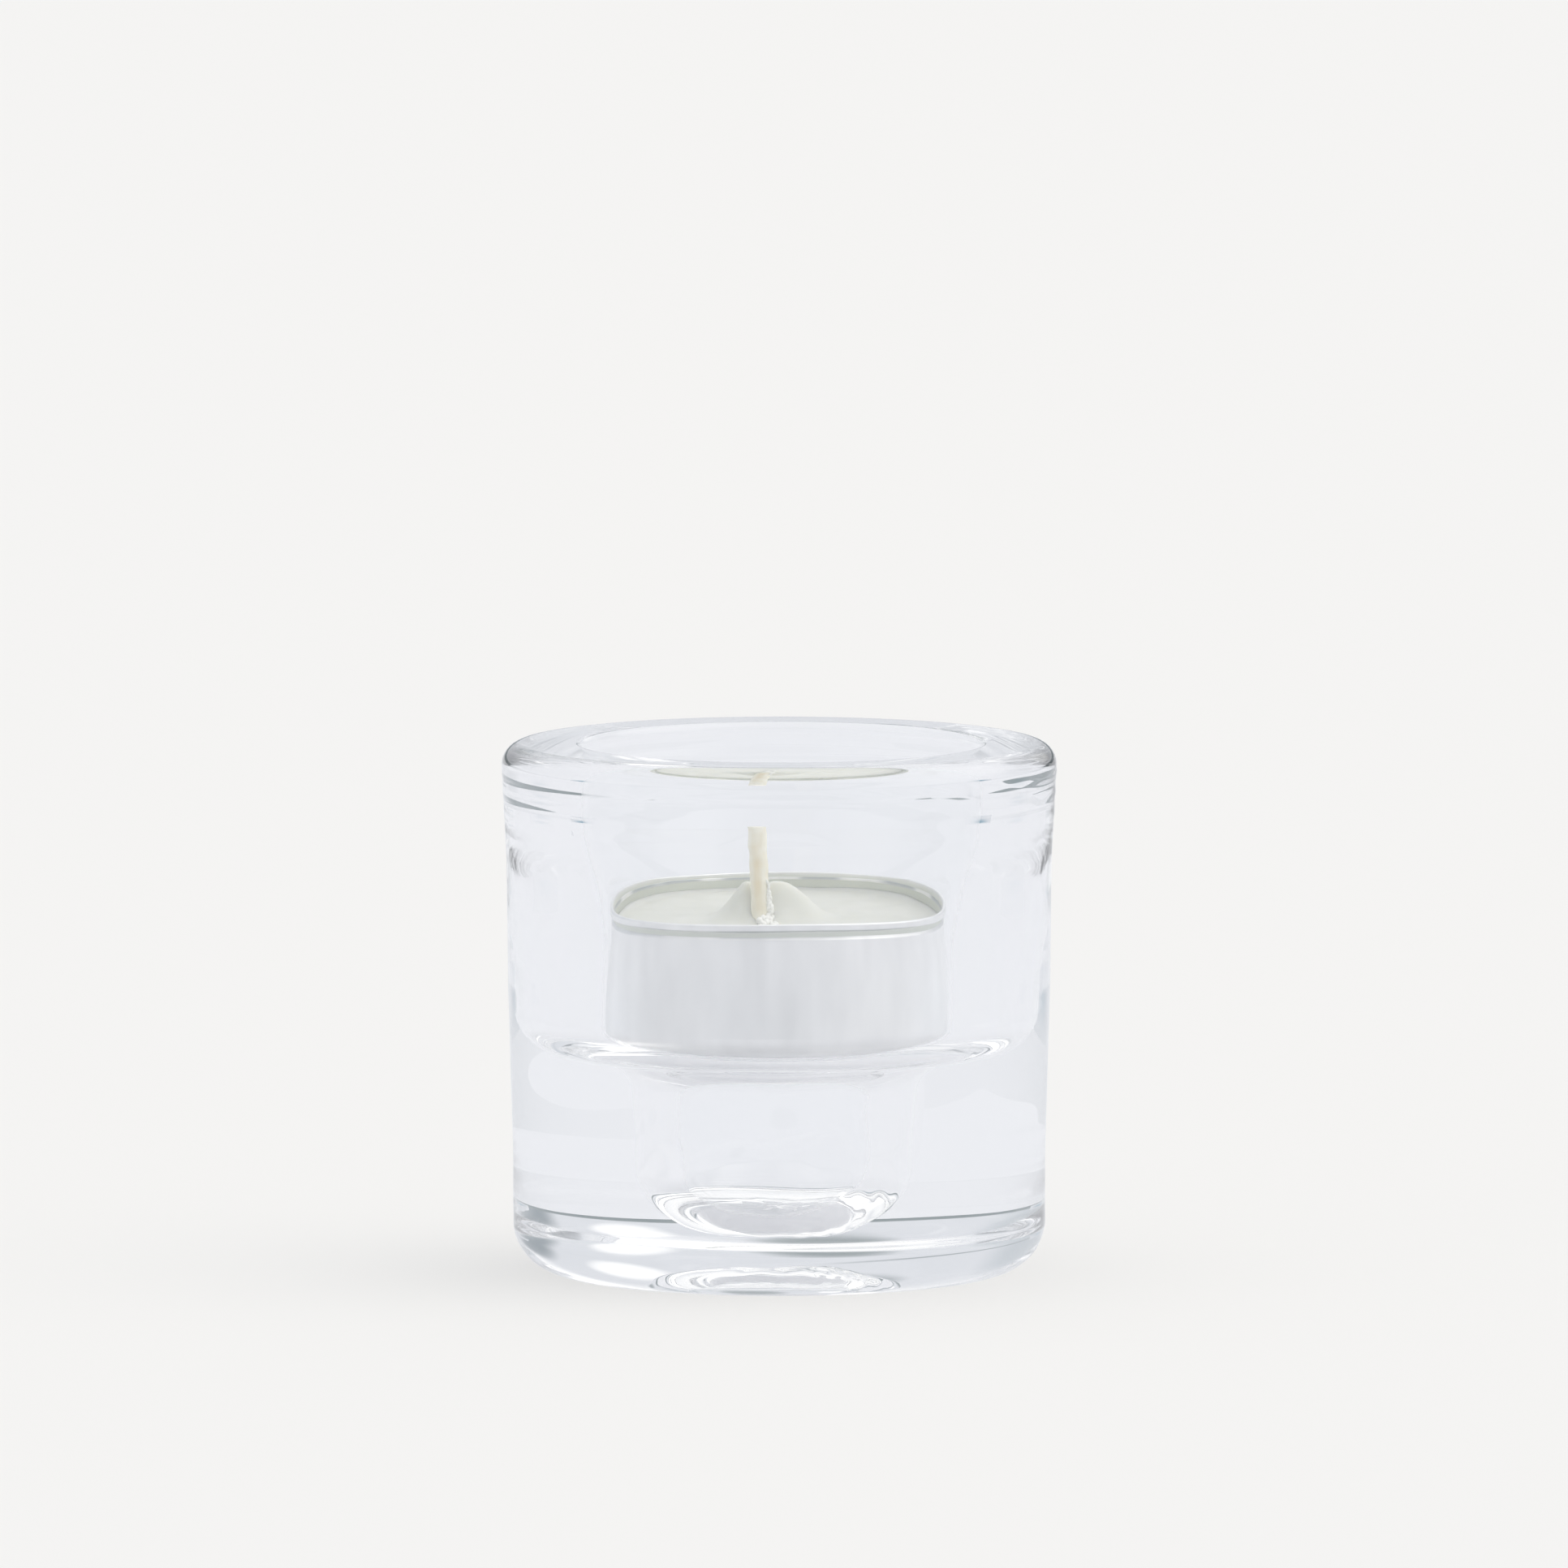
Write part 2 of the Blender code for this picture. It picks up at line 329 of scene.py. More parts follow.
grain, given, out = new_group("grain", [
    STRETCH, SCALE, ("Depth", "NodeSocketFloat", 0.00002)], [("Normal", "NodeSocketVector")])
noise = grain.nodes.new("ShaderNodeTexNoise")
noise.inputs["Detail"].default_value = 3.0
bump = grain.nodes.new("ShaderNodeBump")
grain.links.new(stretched(grain, given), noise.inputs["Vector"])
grain.links.new(given.outputs["Scale"], noise.inputs["Scale"])
grain.links.new(noise.outputs["Fac"], bump.inputs["Height"])
grain.links.new(given.outputs["Depth"], bump.inputs["Distance"])
grain.links.new(bump.outputs["Normal"], out.inputs["Normal"])
print("node groups:", mottle.name, grain.name)


# %% Place a group in a material
def place(tree, group, **numbers):
    """Adds the group to a material's tree and sets its inputs."""
    node = tree.nodes.new("ShaderNodeGroup")
    node.node_tree = group
    for label, number in numbers.items():
        node.inputs[label].default_value = number
    return node


def tinted(tree, colour, mark, tint):
    """The colour, turned towards tint where the mesh's attribute `mark` is high."""
    marked = tree.nodes.new("ShaderNodeAttribute")
    marked.attribute_name = mark
    return mixed(tree, marked.outputs["Fac"], colour, tint)


# %% [markdown]
# ## Tools for turned surfaces
#
# Every piece here is turned or swept, so three tools are enough. The first draws a
# profile line: straight runs joined by arcs that touch both runs, with the exact normal
# of the line at each point. The second turns that line round the axis and may push the
# skin in or out by a small amount at each place. The third puts the points in a mesh.
#
# Blender's Screw modifier would turn a line as well, but the small unevenness of real
# glass has to differ round the axis, and the normals have to be exact, or the glass
# shows a false band wherever a flat stretch meets a curve.

# %% Profile line
def outline(corners, run_step, arc_step, ring=False):
    """Points (r, z) and normals along a line through corners (r, z, round).

    An arc lies at centre + round * (cos a * middle + sin a * side), for a from minus to
    plus half the corner's turn. The normal is the way along the line, turned by 90
    degrees to the left, so it points out of the solid when the line goes round it
    clockwise from the axis. A ring's last corner joins up with its first."""
    spots = np.array([c[:2] for c in corners], float)
    arcs = []
    for i, (r, z, radius) in enumerate(corners):
        here = spots[i]
        if not ring and i in (0, len(corners) - 1):
            arcs.append((here[None], None))
            continue
        before = spots[i - 1] - here
        after = spots[(i + 1) % len(corners)] - here
        before, after = before / np.linalg.norm(before), after / np.linalg.norm(after)
        if radius == 0.0:
            arcs.append((np.stack([here, here]), np.stack([-before, after])))
            continue
        half_turn = 0.5 * (math.pi - math.acos(np.clip(before @ after, -1.0, 1.0)))
        middle = -(before + after) / np.linalg.norm(before + after)
        centre = here - middle * radius / math.cos(half_turn)
        side = np.array([-middle[1], middle[0]])
        side *= math.copysign(1.0, side @ after)
        a = np.linspace(-half_turn, half_turn, max(3, 1 + math.ceil(2 * half_turn / arc_step)))
        a = a[:, None]
        arcs.append((centre + radius * (np.cos(a) * middle + np.sin(a) * side),
                     np.cos(a) * side - np.sin(a) * middle))
    points, ways = [], []
    last = len(corners) if ring else len(corners) - 1
    for i in range(len(corners)):
        if arcs[i][1] is not None:
            points.append(arcs[i][0])
            ways.append(arcs[i][1])
        if i == last:
            continue
        start, end = arcs[i][0][-1], arcs[(i + 1) % len(corners)][0][0]
        way = (end - start) / max(np.linalg.norm(end - start), 1e-12)
        count = max(2, 1 + math.ceil(np.linalg.norm(end - start) / run_step))
        t = np.linspace(0.0, 1.0, count)[:, None]
        run = start + t * (end - start)
        keep = slice(0 if i == 0 and not ring else 1, None if i == last - 1 and not ring else -1)
        points.append(run[keep])
        ways.append(np.repeat(way[None], len(run[keep]), 0))
    points, ways = np.vstack(points), np.vstack(ways)
    return points, np.stack([-ways[:, 1], ways[:, 0]], 1)


def along(points):
    """Distance travelled from the first point to each point."""
    return np.concatenate([[0.0], np.cumsum(np.linalg.norm(np.diff(points, axis=0), axis=1))])


# %% Turned grid
def turn(points, normals, columns, lift=None):
    """Turns a profile round the Z axis: (r cos t, r sin t, z) for `columns` angles t.

    lift is an array (profile points, columns) of how far the skin is pushed along its
    normal. The slope of the lift tilts the normal: normal - way * d(lift)/d(distance)
    - round * d(lift)/d(angle) / r."""
    t = np.arange(columns) * 2.0 * math.pi / columns
    lift = np.zeros((len(points), columns)) if lift is None else lift
    out = np.stack([np.cos(t), np.sin(t), np.zeros(columns)], 1)
    round_ = np.stack([-np.sin(t), np.cos(t), np.zeros(columns)], 1)
    up = np.array([0.0, 0.0, 1.0])
    travelled = along(points)
    travelled += np.arange(len(points)) * 1e-9      # keeps doubled points apart
    slope = np.gradient(lift, travelled, axis=0)[..., None]
    spin = (np.roll(lift, -1, 1) - np.roll(lift, 1, 1)) * columns / (4.0 * math.pi)
    spin = (spin / np.maximum(points[:, :1], 0.5 * MM))[..., None]
    normal = normals[:, None, :1] * out + normals[:, None, 1:] * up
    way = normals[:, None, 1:] * out - normals[:, None, :1] * up
    grid = points[:, None, :1] * out + points[:, None, 1:] * up + lift[..., None] * normal
    tilted = normal - slope * way - spin * round_
    return grid, tilted / np.linalg.norm(tilted, axis=2, keepdims=True), t


# %% Faces of a closed grid
def closed(grid, ring=False):
    """Points, quads, fan triangles and volume of a skin over a grid (rows, columns, 3).

    Columns close on themselves, and with ring so do rows. Otherwise the first and last
    rows are single points on the axis, and each becomes one corner that a fan meets in.
    The volume is the sum of a . (b x c) / 6 over all triangles, and the faces are turned
    the other way if it comes out negative, so they always face outwards."""
    rows, columns, _ = grid.shape
    inner = grid if ring else grid[1:-1]
    count = len(inner)
    points = inner.reshape(-1, 3)
    i, j = np.meshgrid(np.arange(count if ring else count - 1), np.arange(columns), indexing="ij")
    k, below = (j + 1) % columns, (i + 1) % count
    quads = np.stack([i * columns + j, i * columns + k, below * columns + k,
                      below * columns + j], -1).reshape(-1, 4)
    fans = np.zeros((0, 3), int)
    if not ring:
        j, k = np.arange(columns), (np.arange(columns) + 1) % columns
        base, top, end = (count - 1) * columns, len(points), len(points) + 1
        fans = np.vstack([np.stack([k, j, np.full(columns, top)], 1),
                          np.stack([base + j, base + k, np.full(columns, end)], 1)])
        points = np.vstack([points, grid[0].mean(0), grid[-1].mean(0)])
    tris = np.vstack([quads[:, [0, 1, 2]], quads[:, [0, 2, 3]], fans])
    volume = np.einsum("ij,ij->i", points[tris[:, 0]],
                       np.cross(points[tris[:, 1]], points[tris[:, 2]])).sum() / 6.0
    if volume < 0:
        quads, fans = quads[:, ::-1], fans[:, ::-1]
    return points, quads, fans, abs(volume)


# %% Mesh from points and faces
def mesh_object(name, points, quads, fans):
    """A smooth-shaded object at the origin with these points and faces."""
    mesh = bpy.data.meshes.new(name)
    mesh.from_pydata(points.tolist(), [], quads.tolist() + fans.tolist())
    mesh.shade_smooth()
    piece = bpy.data.objects.new(name, mesh)
    bpy.context.scene.collection.objects.link(piece)
    return piece


def skin(name, grid, normals=None, ring=False, marks=None):
    """One closed piece over a grid, with the exact normals if they are given. marks is
    {name: array (rows, columns)} of values that a material can read as attributes."""
    points, quads, fans, volume = closed(grid, ring)
    piece = mesh_object(name, points, quads, fans)
    if normals is not None:
        flat = normals if ring else normals[1:-1]
        flat = flat.reshape(-1, 3)
        if not ring:
            ends = np.array([normals[0].mean(0), normals[-1].mean(0)])
            flat = np.vstack([flat, ends / np.linalg.norm(ends, axis=1, keepdims=True)])
        piece.data.normals_split_custom_set_from_vertices(flat.tolist())
    for label, values in (marks or {}).items():
        flat = values.ravel() if ring else np.concatenate(
            [values[1:-1].ravel(), [values[0].mean(), values[-1].mean()]])
        piece.data.attributes.new(label, "FLOAT", "POINT").data.foreach_set(
            "value", flat.astype(np.float32))
    print(f"{name}: {2 * len(quads) + len(fans)} triangles, {volume * 1e6:.2f} cubic cm")
    return piece


# %% Shapes of marks
def smooth(x, start, end):
    """0 before start, 1 after end, and an even S between: 3 t^2 - 2 t^3."""
    t = np.clip((x - start) / (end - start), 0.0, 1.0)
    return t * t * (3.0 - 2.0 * t)


def bell(x, middle, width):
    """A bell of height 1: exp(-((x - middle) / width)^2)."""
    return np.exp(-(((x - middle) / width) ** 2))


def unevenness(seed, distance, angle, wavelength, waves=24, most_round=9):
    """Smooth random height between about -1 and 1 over a turned skin: a sum of cosines
    of (distance along the profile, whole turns of the angle), each with its own phase."""
    draw = np.random.default_rng(seed)
    height = np.zeros((len(distance), len(angle)))
    for _ in range(waves):
        pitch = 2.0 * math.pi / (wavelength * draw.uniform(0.7, 2.5))
        turns = draw.integers(-most_round, most_round + 1)
        phase = draw.uniform(0.0, 2.0 * math.pi)
        height += np.cos(pitch * distance[:, None] + turns * angle[None] + phase)
    return height / math.sqrt(waves)


# %% [markdown]
# ## The glass block
#
# The block is pressed: a plunger makes the well and the socket while the outside takes
# the shape of a mould, and a flame then melts the edges round. That leaves marks. The
# rim and the heel are soft, a few faint rings run round below the rim, the heel is
# rippled, the plunger stood a little askew, and the socket's end, which the flame never
# reached, is uneven.
#
# The profile is one line from the middle of the socket, up and over the rim, and down
# to the middle of the foot. The marks are pushes along its normals, so the block stays
# one closed skin, which clear glass needs to bend light rightly.

# %% Glass profile
SOCKET_FLOOR = 5.0 * MM
WELL_FLOOR = 24.3 * MM
GLASS_CORNERS = [
    (0.0, SOCKET_FLOOR, 0.0),
    (9.9 * MM, SOCKET_FLOOR, 7.2 * MM),
    (10.7 * MM, WELL_FLOOR, 3.2 * MM),
    (19.3 * MM, WELL_FLOOR, 4.2 * MM),
    (19.6 * MM, 35.5 * MM, 40.0 * MM),
    (22.2 * MM, 49.5 * MM, 40.0 * MM),
    (22.2 * MM, HOLDER_HEIGHT, 0.8 * MM),
    (30.9 * MM, HOLDER_HEIGHT, 2.4 * MM),
    (30.25 * MM, 46.0 * MM, 60.0 * MM),
    (30.1 * MM, 32.0 * MM, 60.0 * MM),
    (29.55 * MM, 13.0 * MM, 60.0 * MM),
    (29.55 * MM, 0.0, 5.8 * MM),
    (0.0, 0.0, 0.0),
]
GLASS_RUN_STEP, GLASS_ARC_STEP = 0.6 * MM, math.radians(6.0)
glass_line, glass_normals = outline(GLASS_CORNERS, GLASS_RUN_STEP, GLASS_ARC_STEP)
glass_way = along(glass_line)
print(len(glass_line), "points on the glass profile")

# %% Glass marks
GLASS_COLUMNS = 320
turn_angle = np.arange(GLASS_COLUMNS) * 2.0 * math.pi / GLASS_COLUMNS
r, z = glass_line[:, 0], glass_line[:, 1]
outside = (np.arange(len(r)) > np.argmax(r)).astype(float) * smooth(z, 0.2 * MM, 2.0 * MM)
inside = (np.arange(len(r)) < np.argmax(z)).astype(float)

RING_HEIGHTS = (51.4 * MM, 53.6 * MM, 55.8 * MM)
RING_LIFT = 0.07 * MM
SKIN_WAVE = 0.006 * MM
HEEL_RIPPLE = 0.018 * MM
SOCKET_WAVE = 0.05 * MM
SOCKET_SCUFF = 0.05 * MM
NECK_RIPPLE = 0.022 * MM
rings = sum(bell(z, ring_height, 0.45 * MM) for ring_height in RING_HEIGHTS) * outside
to_the_sides = 0.5 + 0.5 * np.abs(np.cos(turn_angle))[None] ** 3
glass_lift = RING_LIFT * rings[:, None] * to_the_sides * (
    1.0 + 0.45 * unevenness(3, glass_way, turn_angle, 400 * MM, most_round=5))
glass_lift += SKIN_WAVE * outside[:, None] * unevenness(5, glass_way, turn_angle, 14 * MM)
heel = outside * (1.0 - smooth(z, 6.0 * MM, 9.0 * MM))
glass_lift += HEEL_RIPPLE * heel[:, None] * unevenness(
    6, glass_way, turn_angle, 1.8 * MM, most_round=3)
socket_zone = inside * (1.0 - smooth(z, WELL_FLOOR - 0.5 * MM, WELL_FLOOR + 4 * MM))
glass_lift += SOCKET_WAVE * socket_zone[:, None] * unevenness(8, glass_way, turn_angle, 7 * MM)
socket_end = inside * (1.0 - smooth(z, 9.0 * MM, 12.0 * MM)) * smooth(r, 1.0 * MM, 4.0 * MM)
scuffed = bell(np.angle(np.exp(1j * (turn_angle + 0.6))), 0.0, 0.55)
glass_lift += SOCKET_SCUFF * socket_end[:, None] * scuffed[None] * unevenness(
    9, glass_way, turn_angle, 1.6 * MM, most_round=26)
neck = inside * smooth(z, 46.0 * MM, 52.0 * MM)
rippled = 0.05 + 0.95 * bell(np.angle(np.exp(1j * (turn_angle - 0.25))), 0.0, 0.6)
glass_lift += NECK_RIPPLE * neck[:, None] * rippled[None] * unevenness(
    10, glass_way, turn_angle, 4.0 * MM, most_round=22)
glass_grid, glass_shade, _ = turn(glass_line, glass_normals, GLASS_COLUMNS, glass_lift)
print(f"marks from {glass_lift.min() / MM:.3f} to {glass_lift.max() / MM:.3f} mm")

# %% The plunger's lean
over_rim = 1.0 - smooth(glass_way, glass_way[np.argmax(z)], glass_way[np.argmax(r)])
LEAN_LOW, LEAN_HIGH = -0.45 * MM, 0.22 * MM
lean = LEAN_LOW + (LEAN_HIGH - LEAN_LOW) * smooth(z, 8.0 * MM, HOLDER_HEIGHT)
glass_grid[..., 0] += (over_rim * lean)[:, None]
glass = skin("glass_block", glass_grid, glass_shade)

# %% [markdown]
# ## Clear glass
#
# Clear glass needs a smooth shader with the index of refraction of ordinary glass. Its
# colour drifts a little from place to place, as in any cheap pressed glass, and the ring
# that it stands on is scuffed by tables, so a mask by height and radius makes it less
# smooth there. Light passes through the block to the cup without a shadow of its own.

# %% Glass finish
GLASS_IOR = 1.49
SCUFFED_ROUGHNESS = 0.12

clear_glass, tree, shader = new_material("clear_glass_finish")
tint = place(tree, mottle, Scale=30.0, Light=(0.995, 0.997, 1.0, 1.0),
             Dark=(0.98, 0.985, 0.99, 1.0))
tree.links.new(tint.outputs["Colour"], shader.inputs["Base Color"])
spot = tree.nodes.new("ShaderNodeTexCoord")
flat = tree.nodes.new("ShaderNodeVectorMath")
flat.operation = "MULTIPLY"
flat.inputs[1].default_value = (1.0, 1.0, 0.0)
away = tree.nodes.new("ShaderNodeVectorMath")
away.operation = "LENGTH"
upright = tree.nodes.new("ShaderNodeSeparateXYZ")
tree.links.new(spot.outputs["Object"], flat.inputs[0])
tree.links.new(flat.outputs["Vector"], away.inputs[0])
tree.links.new(spot.outputs["Object"], upright.inputs[0])
low_down = spread(tree, upright.outputs["Z"], 0.20 * MM, 0.02 * MM)
far_out = spread(tree, away.outputs["Value"], 21.0 * MM, 23.5 * MM, 0.0, SCUFFED_ROUGHNESS)
tree.links.new(product(tree, low_down, far_out), shader.inputs["Roughness"])
shader.inputs["IOR"].default_value = GLASS_IOR
shader.inputs["Transmission Weight"].default_value = 1.0
glass.data.materials.append(clear_glass)
glass.visible_shadow = False
glass.visible_diffuse = False
print("glass finish made")

# %% [markdown]
# ## The aluminium cup
#
# The cup is drawn from thin foil. Its edge is rolled outward, a crease runs below the
# roll, and the roll is never quite level: it dips where the cup was gripped. A cylinder
# with the Solidify modifier would give a wall, but not the roll and the crease. So the
# profile runs out over the inside and back over the outside, with the foil's thickness
# between, and turning it gives a closed shell. Two marks are kept on the mesh for the
# finish, both for painted shade: the inner wall, and blotches along the crease.

# %% Cup skin
CUP_RADIUS = 19.0 * MM
SHEET = 0.25 * MM
ROLL = 0.15 * MM
ROLL_ROUND = 0.18 * MM
CREASE = 0.30 * MM
CUP_CORNERS = [
    (0.0, CUP_FLOOR + SHEET, 0.0),
    (CUP_RADIUS - SHEET, CUP_FLOOR + SHEET, 3.15 * MM),
    (CUP_RADIUS - SHEET, CUP_TOP, ROLL_ROUND),
    (CUP_RADIUS + ROLL, CUP_TOP, ROLL_ROUND),
    (CUP_RADIUS + ROLL, CUP_TOP - 0.70 * MM, ROLL_ROUND),
    (CUP_RADIUS - CREASE, CUP_TOP - 0.90 * MM, 0.15 * MM),
    (CUP_RADIUS - CREASE, CUP_TOP - 1.40 * MM, 0.15 * MM),
    (CUP_RADIUS, CUP_TOP - 1.75 * MM, 0.3 * MM),
    (CUP_RADIUS, CUP_FLOOR, 3.4 * MM),
    (0.0, CUP_FLOOR, 0.0),
]
CUP_COLUMNS = 256
CREASE_WAVE = 0.03 * MM
WALL_WAVE = 0.006 * MM
cup_line, cup_normals = outline(CUP_CORNERS, 1.0 * MM, math.radians(12.0))
cup_angle = np.arange(CUP_COLUMNS) * 2.0 * math.pi / CUP_COLUMNS
cup_way = along(cup_line)
outer_wall = (cup_way > cup_way[np.argmax(cup_line[:, 0])]).astype(float)
creased = outer_wall * bell(cup_line[:, 1], CUP_TOP - 1.1 * MM, 0.35 * MM)
walls = outer_wall * smooth(cup_line[:, 0], 15.0 * MM, 18.5 * MM)
cup_lift = CREASE_WAVE * creased[:, None] * unevenness(
    12, cup_way, cup_angle, 40 * MM, most_round=14)
cup_lift += WALL_WAVE * walls[:, None] * unevenness(
    13, cup_way, cup_angle, 9 * MM, most_round=12)
cup_grid, cup_shade, _ = turn(cup_line, cup_normals, CUP_COLUMNS, cup_lift)
dip = (-0.30 * (1.0 + np.cos(2 * cup_angle)) + 0.06 * np.cos(3 * cup_angle + 2.1)
       + 0.04 * np.cos(5 * cup_angle + 1.0)) * MM
near_top = smooth(cup_line[:, 1], CUP_TOP - 5.0 * MM, CUP_TOP)
cup_grid[..., 2] += (dip[None] - dip.max()) * near_top[:, None]
cup_grid[..., 0] += CUP_X
below_roll = 1.0 - smooth(cup_line[:, 1], CUP_TOP - 0.5 * MM, CUP_TOP - 0.1 * MM)
# inner: the inside of the cup below the roll, which the finish greys with painted shade
inner = np.repeat(((1.0 - outer_wall) * below_roll)[:, None], CUP_COLUMNS, 1)
# Blotches of painted shade along the crease, which the finish darkens
blotches = smooth(unevenness(14, cup_way, cup_angle, 40 * MM, most_round=16), -0.6, 0.4)
cup = skin("cup_shell", cup_grid, cup_shade,
           marks={"inner": inner, "crease": creased[:, None] * blotches})

# %% [markdown]
# ## Satin aluminium
#
# Drawing pulls faint upright streaks into the foil, so both the mottle and the grain are
# stretched along Z by making that axis count for less. The same mottle makes the cup a
# little glossier in some places than in others. Painted shade greys the inner wall, and
# painted shade in blotches darkens the crease.

# %% Aluminium finish
aluminium, tree, shader = new_material("satin_aluminium_finish")
streaks = place(tree, mottle, Stretch=(1.0, 1.0, 0.22), Scale=420.0,
                Light=(0.95, 0.948, 0.945, 1.0), Dark=(0.88, 0.88, 0.88, 1.0))
drawn = place(tree, grain, Stretch=(1.0, 1.0, 0.3), Scale=900.0, Depth=0.012 * MM)
# Painted shade: the colour greys the cup's inner wall below the roll.
shaded_inner_wall = tinted(tree, streaks.outputs["Colour"], "inner", (0.70, 0.72, 0.67))
# Painted shade: the colour darkens the crease below the roll, in blotches.
shaded_crease = tinted(tree, shaded_inner_wall, "crease", (0.50, 0.53, 0.55))
tree.links.new(shaded_crease, shader.inputs["Base Color"])
roughness = spread(tree, streaks.outputs["Value"], 0.0, 1.0, 0.44, 0.38)
tree.links.new(roughness, shader.inputs["Roughness"])
tree.links.new(drawn.outputs["Normal"], shader.inputs["Normal"])
shader.inputs["Metallic"].default_value = 1.0
cup.data.materials.append(aluminium)
print("aluminium finish made")

# %% [markdown]
# ## The wax
#
# Poured paraffin sinks as it sets, so it meets the cup a little higher than it stands in
# the middle, and it is drawn up in two broad humps behind the wick. A plain disc would
# show a hard, level edge. The body here is a ring with a hole for the wick and a hollow
# below for the clip. Its profile closes on itself, and the top is then raised: by bells
# of the place for the humps, and by the distance outward for the edge.

# %% Wax body
WAX_RADIUS = CUP_RADIUS - SHEET - 0.02 * MM
WAX_TOP = CUP_TOP - 3.4 * MM
WAX_FLOOR = CUP_FLOOR + SHEET + 0.02 * MM
BORE = 0.75 * MM
WICK_DRIFT = 1.2 * MM          # how far the wick has drifted left by the wax's top
CLIP_FLOOR, CLIP_TOP = clip_low.z, clip_high.z
CLIP_RADIUS = 0.5 * (clip_high.x - clip_low.x)
CLIP_SHEET = 0.3 * MM
CLIP_BORE, CLIP_NECK = 1.08 * MM, 1.38 * MM
SKIN_GAP = 0.05 * MM
WAX_CORNERS = [
    (BORE, CLIP_TOP + SKIN_GAP, 0.0),
    (BORE, WAX_TOP, 0.0),
    (WAX_RADIUS, WAX_TOP, 0.0),
    (WAX_RADIUS, WAX_FLOOR, 3.1 * MM),
    (CLIP_RADIUS + SKIN_GAP, WAX_FLOOR, 0.0),
    (CLIP_RADIUS + SKIN_GAP, CLIP_FLOOR + CLIP_SHEET + SKIN_GAP, 0.0),
    (CLIP_NECK + SKIN_GAP, CLIP_FLOOR + CLIP_SHEET + SKIN_GAP, 0.0),
    (CLIP_NECK + SKIN_GAP, CLIP_TOP + SKIN_GAP, 0.0),
]
wax_line, wax_normals = outline(WAX_CORNERS, 0.35 * MM, math.radians(12.0), ring=True)
WAX_COLUMNS = 192
HUMP, MENISCUS, DISH, WAX_RIPPLE = 4.5 * MM, 0.35 * MM, 0.20 * MM, 0.05 * MM
wax_grid, _, wax_angle = turn(wax_line, wax_normals, WAX_COLUMNS)
wr = wax_line[:, 0][:, None]
on_top = (wax_line[:, 1] > WAX_TOP - 0.01 * MM).astype(float)[:, None]
wx, wy = wr * np.cos(wax_angle)[None], wr * np.sin(wax_angle)[None]
humps = HUMP * bell(wy, 2.1 * MM, 1.9 * MM) * np.maximum(
    bell(wx, -2.1 * MM, 3.0 * MM), bell(wx, 1.4 * MM, 3.2 * MM))
ragged = 1.0 + 0.45 * unevenness(21, 0.0 * wr[:, 0], wax_angle, 50 * MM, most_round=14)
meniscus = MENISCUS * smooth(wr, WAX_RADIUS - 1.2 * MM, WAX_RADIUS) * ragged
dish = DISH * (wr / WAX_RADIUS) ** 2
ripple = WAX_RIPPLE * unevenness(22, wax_line[:, 0], wax_angle, 4 * MM)
wax_grid[..., 2] += on_top * (humps + meniscus + dish + ripple)
wax_grid[..., 0] += CUP_X + (CLIP_X - CUP_X) * (1.0 - smooth(wr, 4.0 * MM, 14.0 * MM))
wax_grid[..., 0] -= (WICK_DRIFT * smooth(wax_line[:, 1], CLIP_TOP, WAX_TOP)
                     * (1.0 - smooth(wr[:, 0], 1.2 * MM, 5.0 * MM)))[:, None]
wax = skin("wax_fill", wax_grid, ring=True)

# %% [markdown]
# ## Paraffin
#
# Wax is cloudy: light goes in and comes out again near by. That is subsurface light, and
# it hides the noise of a colour alone. The mottle stands for air and crystals in it.

# %% Wax finish
paraffin, tree, shader = new_material("paraffin_finish")
clouds = place(tree, mottle, Scale=260.0, Light=(0.775, 0.78, 0.735, 1.0),
               Dark=(0.72, 0.73, 0.68, 1.0))
pits = place(tree, grain, Scale=1100.0, Depth=0.03 * MM)
tree.links.new(clouds.outputs["Colour"], shader.inputs["Base Color"])
roughness = spread(tree, clouds.outputs["Value"], 0.0, 1.0, 0.50, 0.36)
tree.links.new(roughness, shader.inputs["Roughness"])
tree.links.new(pits.outputs["Normal"], shader.inputs["Normal"])
shader.inputs["Subsurface Weight"].default_value = 0.6
shader.inputs["Subsurface Radius"].default_value = (1.0, 0.95, 0.8)
shader.inputs["Subsurface Scale"].default_value = 1.5 * MM
wax.data.materials.append(paraffin)
print("paraffin finish made")

# %% [markdown]
# ## The wick
#
# The wick is a plaited cotton cord dipped in wax: nearly smooth, with a shallow crossing
# furrow, cut off square. It stands in the clip, drifts left inside the wax and leans a
# little to the left above it. A path carries a circle upward, and two crossing helices
# make the furrows. Its tan core shows through the wax along the front, and the furrows get
# painted shade. Both are kept on the mesh as one attribute, because they follow the cord.

# %% Wick body
WICK_RADIUS = 1.05 * MM
WICK_LEAN = 0.5 * MM
WICK_COLUMNS = 48
WICK_ROWS = 160
PLAIT_PITCH = 3.0 * MM
height = np.linspace(wick_low.z, wick_high.z, WICK_ROWS)
free = np.clip((height - WAX_TOP) / (wick_high.z - WAX_TOP), 0.0, 1.0)
drifted = WICK_DRIFT * smooth(height, CLIP_TOP, WAX_TOP)
middle = np.stack([CLIP_X - drifted - WICK_LEAN * free, 0.0 * height, height], 1)
a = np.arange(WICK_COLUMNS) * 2.0 * math.pi / WICK_COLUMNS
twist = 2.0 * math.pi * height[:, None] / PLAIT_PITCH
plait = np.maximum(np.cos(2 * a[None] + twist), np.cos(2 * a[None] - twist))
dipped = 1.0 + 0.02 * unevenness(31, height, a, 3 * MM, most_round=2)
wick_radius = WICK_RADIUS * dipped * (1.0 + 0.025 * (plait - 1.0))
circle = np.stack([np.cos(a), np.sin(a), 0.0 * a], 1)
